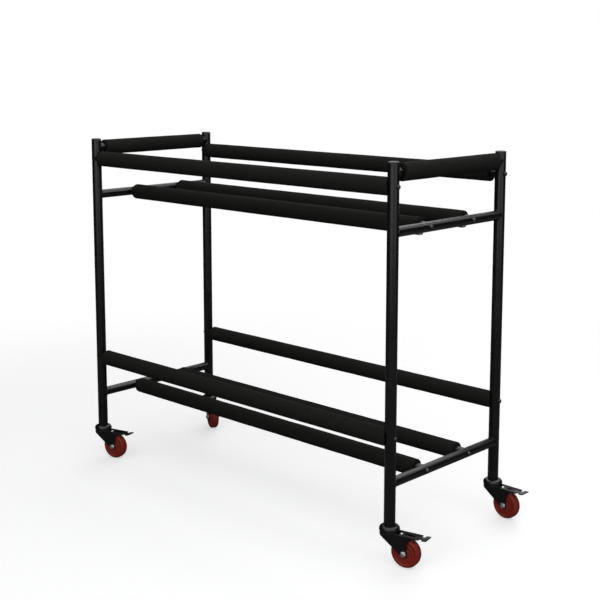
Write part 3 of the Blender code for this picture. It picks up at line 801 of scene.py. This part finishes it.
def axle_skin(corner):
    """Turned bolt along s with six-sided ends on round washers."""
    half = [
        (0.0034, 0.0223),
        (0.0058, 0.0216),
        (AXLE_HEAD, 0.0208),
        (AXLE_HEAD, 0.0178),
        (WASHER_RADIUS, 0.0176),
        (WASHER_RADIUS, WASHER_SEAT),
        (AXLE_RADIUS, WASHER_SEAT),
    ]
    six = [0.5, 0.7, 1, 1, 0, 0, 0]
    rows = half + [(radius, -height) for radius, height in reversed(half)]
    place = caster_matrix(corner)
    grid = turned_grid(rows, axis="Y", at=(TRAIL, 0, AXLE_Z), columns=48, six_sided=six + six[::-1])
    piece = skin(f"axle_bolt_skin_{corner}", grid, ZINC, place=place, body=f"caster_{corner}", sharp=25)
    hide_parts(f"axle_bolt_{corner}")


for corner in CORNERS:
    wheel_skin(corner)
    axle_skin(corner)

# %% [markdown]
# The brake pedal is another pressing: a plate between the legs with a slot and two raised ribs, and a bar
# for the foot that slopes up behind the wheel. A pin hinges it, and a zinc rivet shows in front.

# %% Brake pedals
PIN_RADIUS = 0.0015
PLATE_LOW = PIN_Z - 0.0017
PLATE_HIGH = PLATE_LOW + 0.0025
PLATE_HALF = 0.0125
FRONT_T = 0.0270
TIP_T = ARM_END + 0.021
BAR_T = ARM_END + 0.008
NECK_HALF = 0.007
TIP_HALF = 0.016
TIP_RISE = 0.002
SLOT_HALF_LENGTH = 0.010
SLOT_HALF_WIDTH = 0.005
SLOT_SHARE = 0.6
EDGE_DRAW = 0.985
RIB_MIDDLE = 0.0110
RIB_HALF = 0.001
RIB_HEIGHT = 0.0015
RIVET_RADIUS = 0.0042
RIVET_HEIGHT = 0.0017


def slotted_plate():
    """Closed ring between the plate's edge and its slot. Both outlines are read at the same angles from the
    slot's middle, so that their points pair up. The rows go under the plate, up its edge and back over it.
    Past each end of its straight sides the slot is half a circle."""
    centre = (FRONT_T + ARM_END) / 2
    a = np.linspace(0, 2 * math.pi, 96, endpoint=False)
    ray = np.stack([np.cos(a), np.sin(a)], -1)
    box = np.array([(ARM_END - FRONT_T) / 2, PLATE_HALF])
    reach = np.min(box / np.maximum(np.abs(ray), 1e-9), axis=1)
    outer = ray * reach[:, None]
    reached = outer[:, 0] * SLOT_SHARE
    along = np.clip(reached, -SLOT_HALF_LENGTH, SLOT_HALF_LENGTH)
    past_end = np.abs(reached) > SLOT_HALF_LENGTH
    inner = np.stack([along + SLOT_HALF_WIDTH * np.cos(a) * past_end, SLOT_HALF_WIDTH * np.sin(a)], -1)
    rows = []
    for ring, z, draw in (
        (inner, PLATE_LOW, 1.0),
        (outer, PLATE_LOW, EDGE_DRAW),
        (outer, PLATE_LOW + 0.0005, 1.0),
        (outer, PLATE_HIGH - 0.0005, 1.0),
        (outer, PLATE_HIGH, EDGE_DRAW),
        (inner, PLATE_HIGH, 1.0),
    ):
        level = np.full((len(a), 1), z)
        rows.append(np.concatenate([ring * draw + (centre, 0), level], axis=1))
    return np.array(rows)


def foot_outline():
    """T shape of neck and foot bar in t and s."""
    half = [(ARM_END - 0.003, NECK_HALF), (BAR_T, NECK_HALF), (BAR_T, TIP_HALF), (TIP_T, TIP_HALF)]
    return closed_soft(half + [(t, -s) for t, s in reversed(half)], 0.0022, 5)


def pedal_skin(corner):
    """Plate, foot bar, two ribs, pin and rivet, which all turn with the pedal."""
    place = caster_matrix(corner)
    body = f"brake_pedal_{corner}_body"
    pieces = [skin(f"pedal_plate_{corner}", slotted_plate(), PAINT, loop=True, place=place, body=body)]
    bar = plate_grid(foot_outline(), PLATE_LOW + 0.0002, PLATE_HIGH + 0.0002, 0.0006, "ts")
    bar[..., 2] += TIP_RISE * np.maximum(bar[..., 0] - ARM_END, 0) / (TIP_T - ARM_END)
    pieces.append(skin(f"pedal_foot_bar_{corner}", bar, PAINT, flat_ends=True, place=place, body=body))
    for label, side in (("seen", -1), ("far", 1)):
        near = side * RIB_MIDDLE - RIB_HALF
        far = side * RIB_MIDDLE + RIB_HALF
        strip = [(FRONT_T + 0.0005, near), (ARM_END - 0.0005, near)]
        strip += [(t, far) for t, _ in reversed(strip)]
        outline = closed_soft(strip, 0.0009, 4)
        rib = plate_grid(outline, PLATE_LOW + 0.001, PLATE_HIGH + RIB_HEIGHT, 0.0006, "ts")
        name = f"pedal_rib_{label}_{corner}"
        pieces.append(skin(name, rib, PAINT, flat_ends=True, place=place, body=body))
    end = PIN_RADIUS - 0.0004
    pin = softened([(end, -LEG_OUT), (PIN_RADIUS, -LEG_OUT), (PIN_RADIUS, LEG_OUT), (end, LEG_OUT)], 0.0003)
    grid = turned_grid(pin, axis="Y", at=(PIN_T, 0, PIN_Z), columns=32)
    pieces.append(skin(f"pedal_pin_{corner}", grid, PAINT, place=place, body=body))
    for piece in pieces:
        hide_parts(f"brake_pedal_{corner}")
    dome = np.linspace(0, math.pi / 2 - 0.1, 7)
    button = np.stack([RIVET_RADIUS * np.cos(dome), PLATE_HIGH - 0.0001 + RIVET_HEIGHT * np.sin(dome)], -1)
    rivet = turned_grid(button, at=(PIN_T + 0.001, 0, 0), columns=32)
    stud = skin(f"pedal_rivet_{corner}", rivet, ZINC, place=place, body=body)


for corner in CORNERS:
    pedal_skin(corner)

# %% [markdown]
# ## Studio
# The rack was photographed on white. The floor is pale near the rack, where it takes the wheels' soft
# shadows, and turns by distance into the same white as the world behind it, so no horizon shows. Only the
# camera sees that white. Black paint that mirrors a bright white room looks grey, so for every other ray the
# room is dim. Large soft lamps give the tubes their long highlights.

# %% Floor
WHITE = 1.0
DIM = 0.03
DIM_FLOOR = 0.25
FLOOR_LIFT = 0.51
FLOOR_PALE = 0.86
FLOOR_HALF = 14.0
FADE_START = 0.9
FADE_END = 2.6


def floor_finish():
    """Pale floor that fades to plain white light by distance, and is dim for all rays but the camera's."""
    made = bpy.data.materials.new("studio floor")
    made.use_nodes = True
    nodes = made.node_tree.nodes
    link = made.node_tree.links.new
    pale = nodes["Principled BSDF"]
    pale.inputs["Base Color"].default_value = (FLOOR_PALE, FLOOR_PALE, FLOOR_PALE, 1)
    pale.inputs["Roughness"].default_value = 0.6
    pale.inputs["Emission Color"].default_value = (1, 1, 1, 1)
    pale.inputs["Emission Strength"].default_value = FLOOR_LIFT
    glow = nodes.new("ShaderNodeEmission")
    glow.inputs["Strength"].default_value = WHITE
    grey = nodes.new("ShaderNodeBsdfDiffuse")
    grey.inputs["Color"].default_value = (DIM_FLOOR, DIM_FLOOR, DIM_FLOOR, 1)
    where = nodes.new("ShaderNodeTexCoord")
    length = nodes.new("ShaderNodeVectorMath")
    length.operation = "LENGTH"
    fade = nodes.new("ShaderNodeMapRange")
    fade.interpolation_type = "SMOOTHSTEP"
    fade.inputs["From Min"].default_value = FADE_START
    fade.inputs["From Max"].default_value = FADE_END
    far_mix = nodes.new("ShaderNodeMixShader")
    ray_mix = nodes.new("ShaderNodeMixShader")
    seen = nodes.new("ShaderNodeLightPath")
    link(where.outputs["Object"], length.inputs[0])
    link(length.outputs["Value"], fade.inputs["Value"])
    link(fade.outputs["Result"], far_mix.inputs["Fac"])
    link(pale.outputs["BSDF"], far_mix.inputs[1])
    link(glow.outputs["Emission"], far_mix.inputs[2])
    link(seen.outputs["Is Camera Ray"], ray_mix.inputs["Fac"])
    link(grey.outputs["BSDF"], ray_mix.inputs[1])
    link(far_mix.outputs["Shader"], ray_mix.inputs[2])
    link(ray_mix.outputs["Shader"], nodes["Material Output"].inputs["Surface"])
    return made


floor_mesh = bpy.data.meshes.new("studio_floor")
edge = FLOOR_HALF
floor_corners = [(-edge, -edge, 0), (edge, -edge, 0), (edge, edge, 0), (-edge, edge, 0)]
floor_mesh.from_pydata(floor_corners, [], [(0, 1, 2, 3)])
floor_mesh.materials.append(floor_finish())
studio_floor = bpy.data.objects.new("studio_floor", floor_mesh)
bpy.context.scene.collection.objects.link(studio_floor)

# %% [markdown]
# A lamp can be told which rays see it. The ceiling that the glossy tubes mirror is bright, but the foam is
# hardly lit from above in the photograph. So the ceiling is two lamps: a weak one that lights everything,
# and a strong one a little higher that shows in reflections alone. A wide weak lamp stands in front, one to
# the right and one behind, so that no side of the rack sinks into black.

# %% World and lamps
world = bpy.data.worlds.new("studio white")
world.use_nodes = True
bpy.context.scene.world = world
world_nodes = world.node_tree.nodes
seen_white = world_nodes["Background"]
seen_white.inputs["Color"].default_value = (1, 1, 1, 1)
seen_white.inputs["Strength"].default_value = WHITE
dim_room = world_nodes.new("ShaderNodeBackground")
dim_room.inputs["Color"].default_value = (0.93, 0.96, 1.0, 1)
dim_room.inputs["Strength"].default_value = DIM
pick = world_nodes.new("ShaderNodeMixShader")
path = world_nodes.new("ShaderNodeLightPath")
world.node_tree.links.new(path.outputs["Is Camera Ray"], pick.inputs["Fac"])
world.node_tree.links.new(dim_room.outputs["Background"], pick.inputs[1])
world.node_tree.links.new(seen_white.outputs["Background"], pick.inputs[2])
world.node_tree.links.new(pick.outputs["Shader"], world_nodes["World Output"].inputs["Surface"])
bpy.context.scene.view_settings.view_transform = "Standard"


def soft_lamp(name, place, aim, size, watts, colour=(1, 1, 1)):
    """Square area lamp at a place, turned to face a point."""
    lamp = bpy.data.lights.new(name, "AREA")
    lamp.shape = "SQUARE"
    lamp.size = size
    lamp.energy = watts
    lamp.color = colour
    holder = bpy.data.objects.new(name, lamp)
    bpy.context.scene.collection.objects.link(holder)
    holder.location = place
    direction = np.array(place, dtype=float) - np.array(aim, dtype=float)
    flat = math.hypot(direction[0], direction[1])
    holder.rotation_euler = (math.atan2(flat, direction[2]), 0, math.atan2(direction[0], -direction[1]))
    return holder


RACK_MIDDLE = (0, 0, 0.6)
COOL_WHITE = (0.94, 0.97, 1.0)

soft_lamp("overhead_softbox", (0.5, 0.8, 3.2), (0.5, 0.8, 0), 5.8, 45)
ceiling_gloss = soft_lamp("ceiling_gloss", (0.5, 0.8, 3.4), (0.5, 0.8, 0), 6.4, 190)
ceiling_gloss.visible_diffuse = False
soft_lamp("front_softbox", (1.6, -4.2, 2.7), RACK_MIDDLE, 5.2, 105)
soft_lamp("right_softbox", (4.2, -0.6, 2.2), (0.2, 0, 0.6), 4.0, 50, COOL_WHITE)
soft_lamp("back_softbox", (-1.6, 4.2, 2.7), RACK_MIDDLE, 5.2, 60)

# %% [markdown]
# ## Camera
# The camera stands to the right of the rack's front and a little above it. Its place, tilt and lens come
# from matching the tubes' edges. In the picture the posts are parallel, as with a level camera whose lens
# is shifted far down. A shift that large would cut the rack in other views, so the camera tilts, and a small
# shift gives back some of the parallel look.

# %% Camera
CAMERA_PLACE = (2.2832, -2.3305, 1.2157)
CAMERA_YAW = 43.673
CAMERA_TILT = 8.223
CAMERA_LENS = 70.287
CAMERA_SHIFT = (0.00125, -0.12)
SENSOR_WIDTH = 36

camera_data = bpy.data.cameras.new("camera")
camera_data.sensor_width = SENSOR_WIDTH
camera_data.sensor_fit = "HORIZONTAL"
camera_data.lens = CAMERA_LENS
camera_data.shift_x, camera_data.shift_y = CAMERA_SHIFT
camera = bpy.data.objects.new("camera", camera_data)
bpy.context.scene.collection.objects.link(camera)
camera.location = CAMERA_PLACE
camera.rotation_euler = (math.radians(90 - CAMERA_TILT), 0, math.radians(CAMERA_YAW))
bpy.context.scene.camera = camera
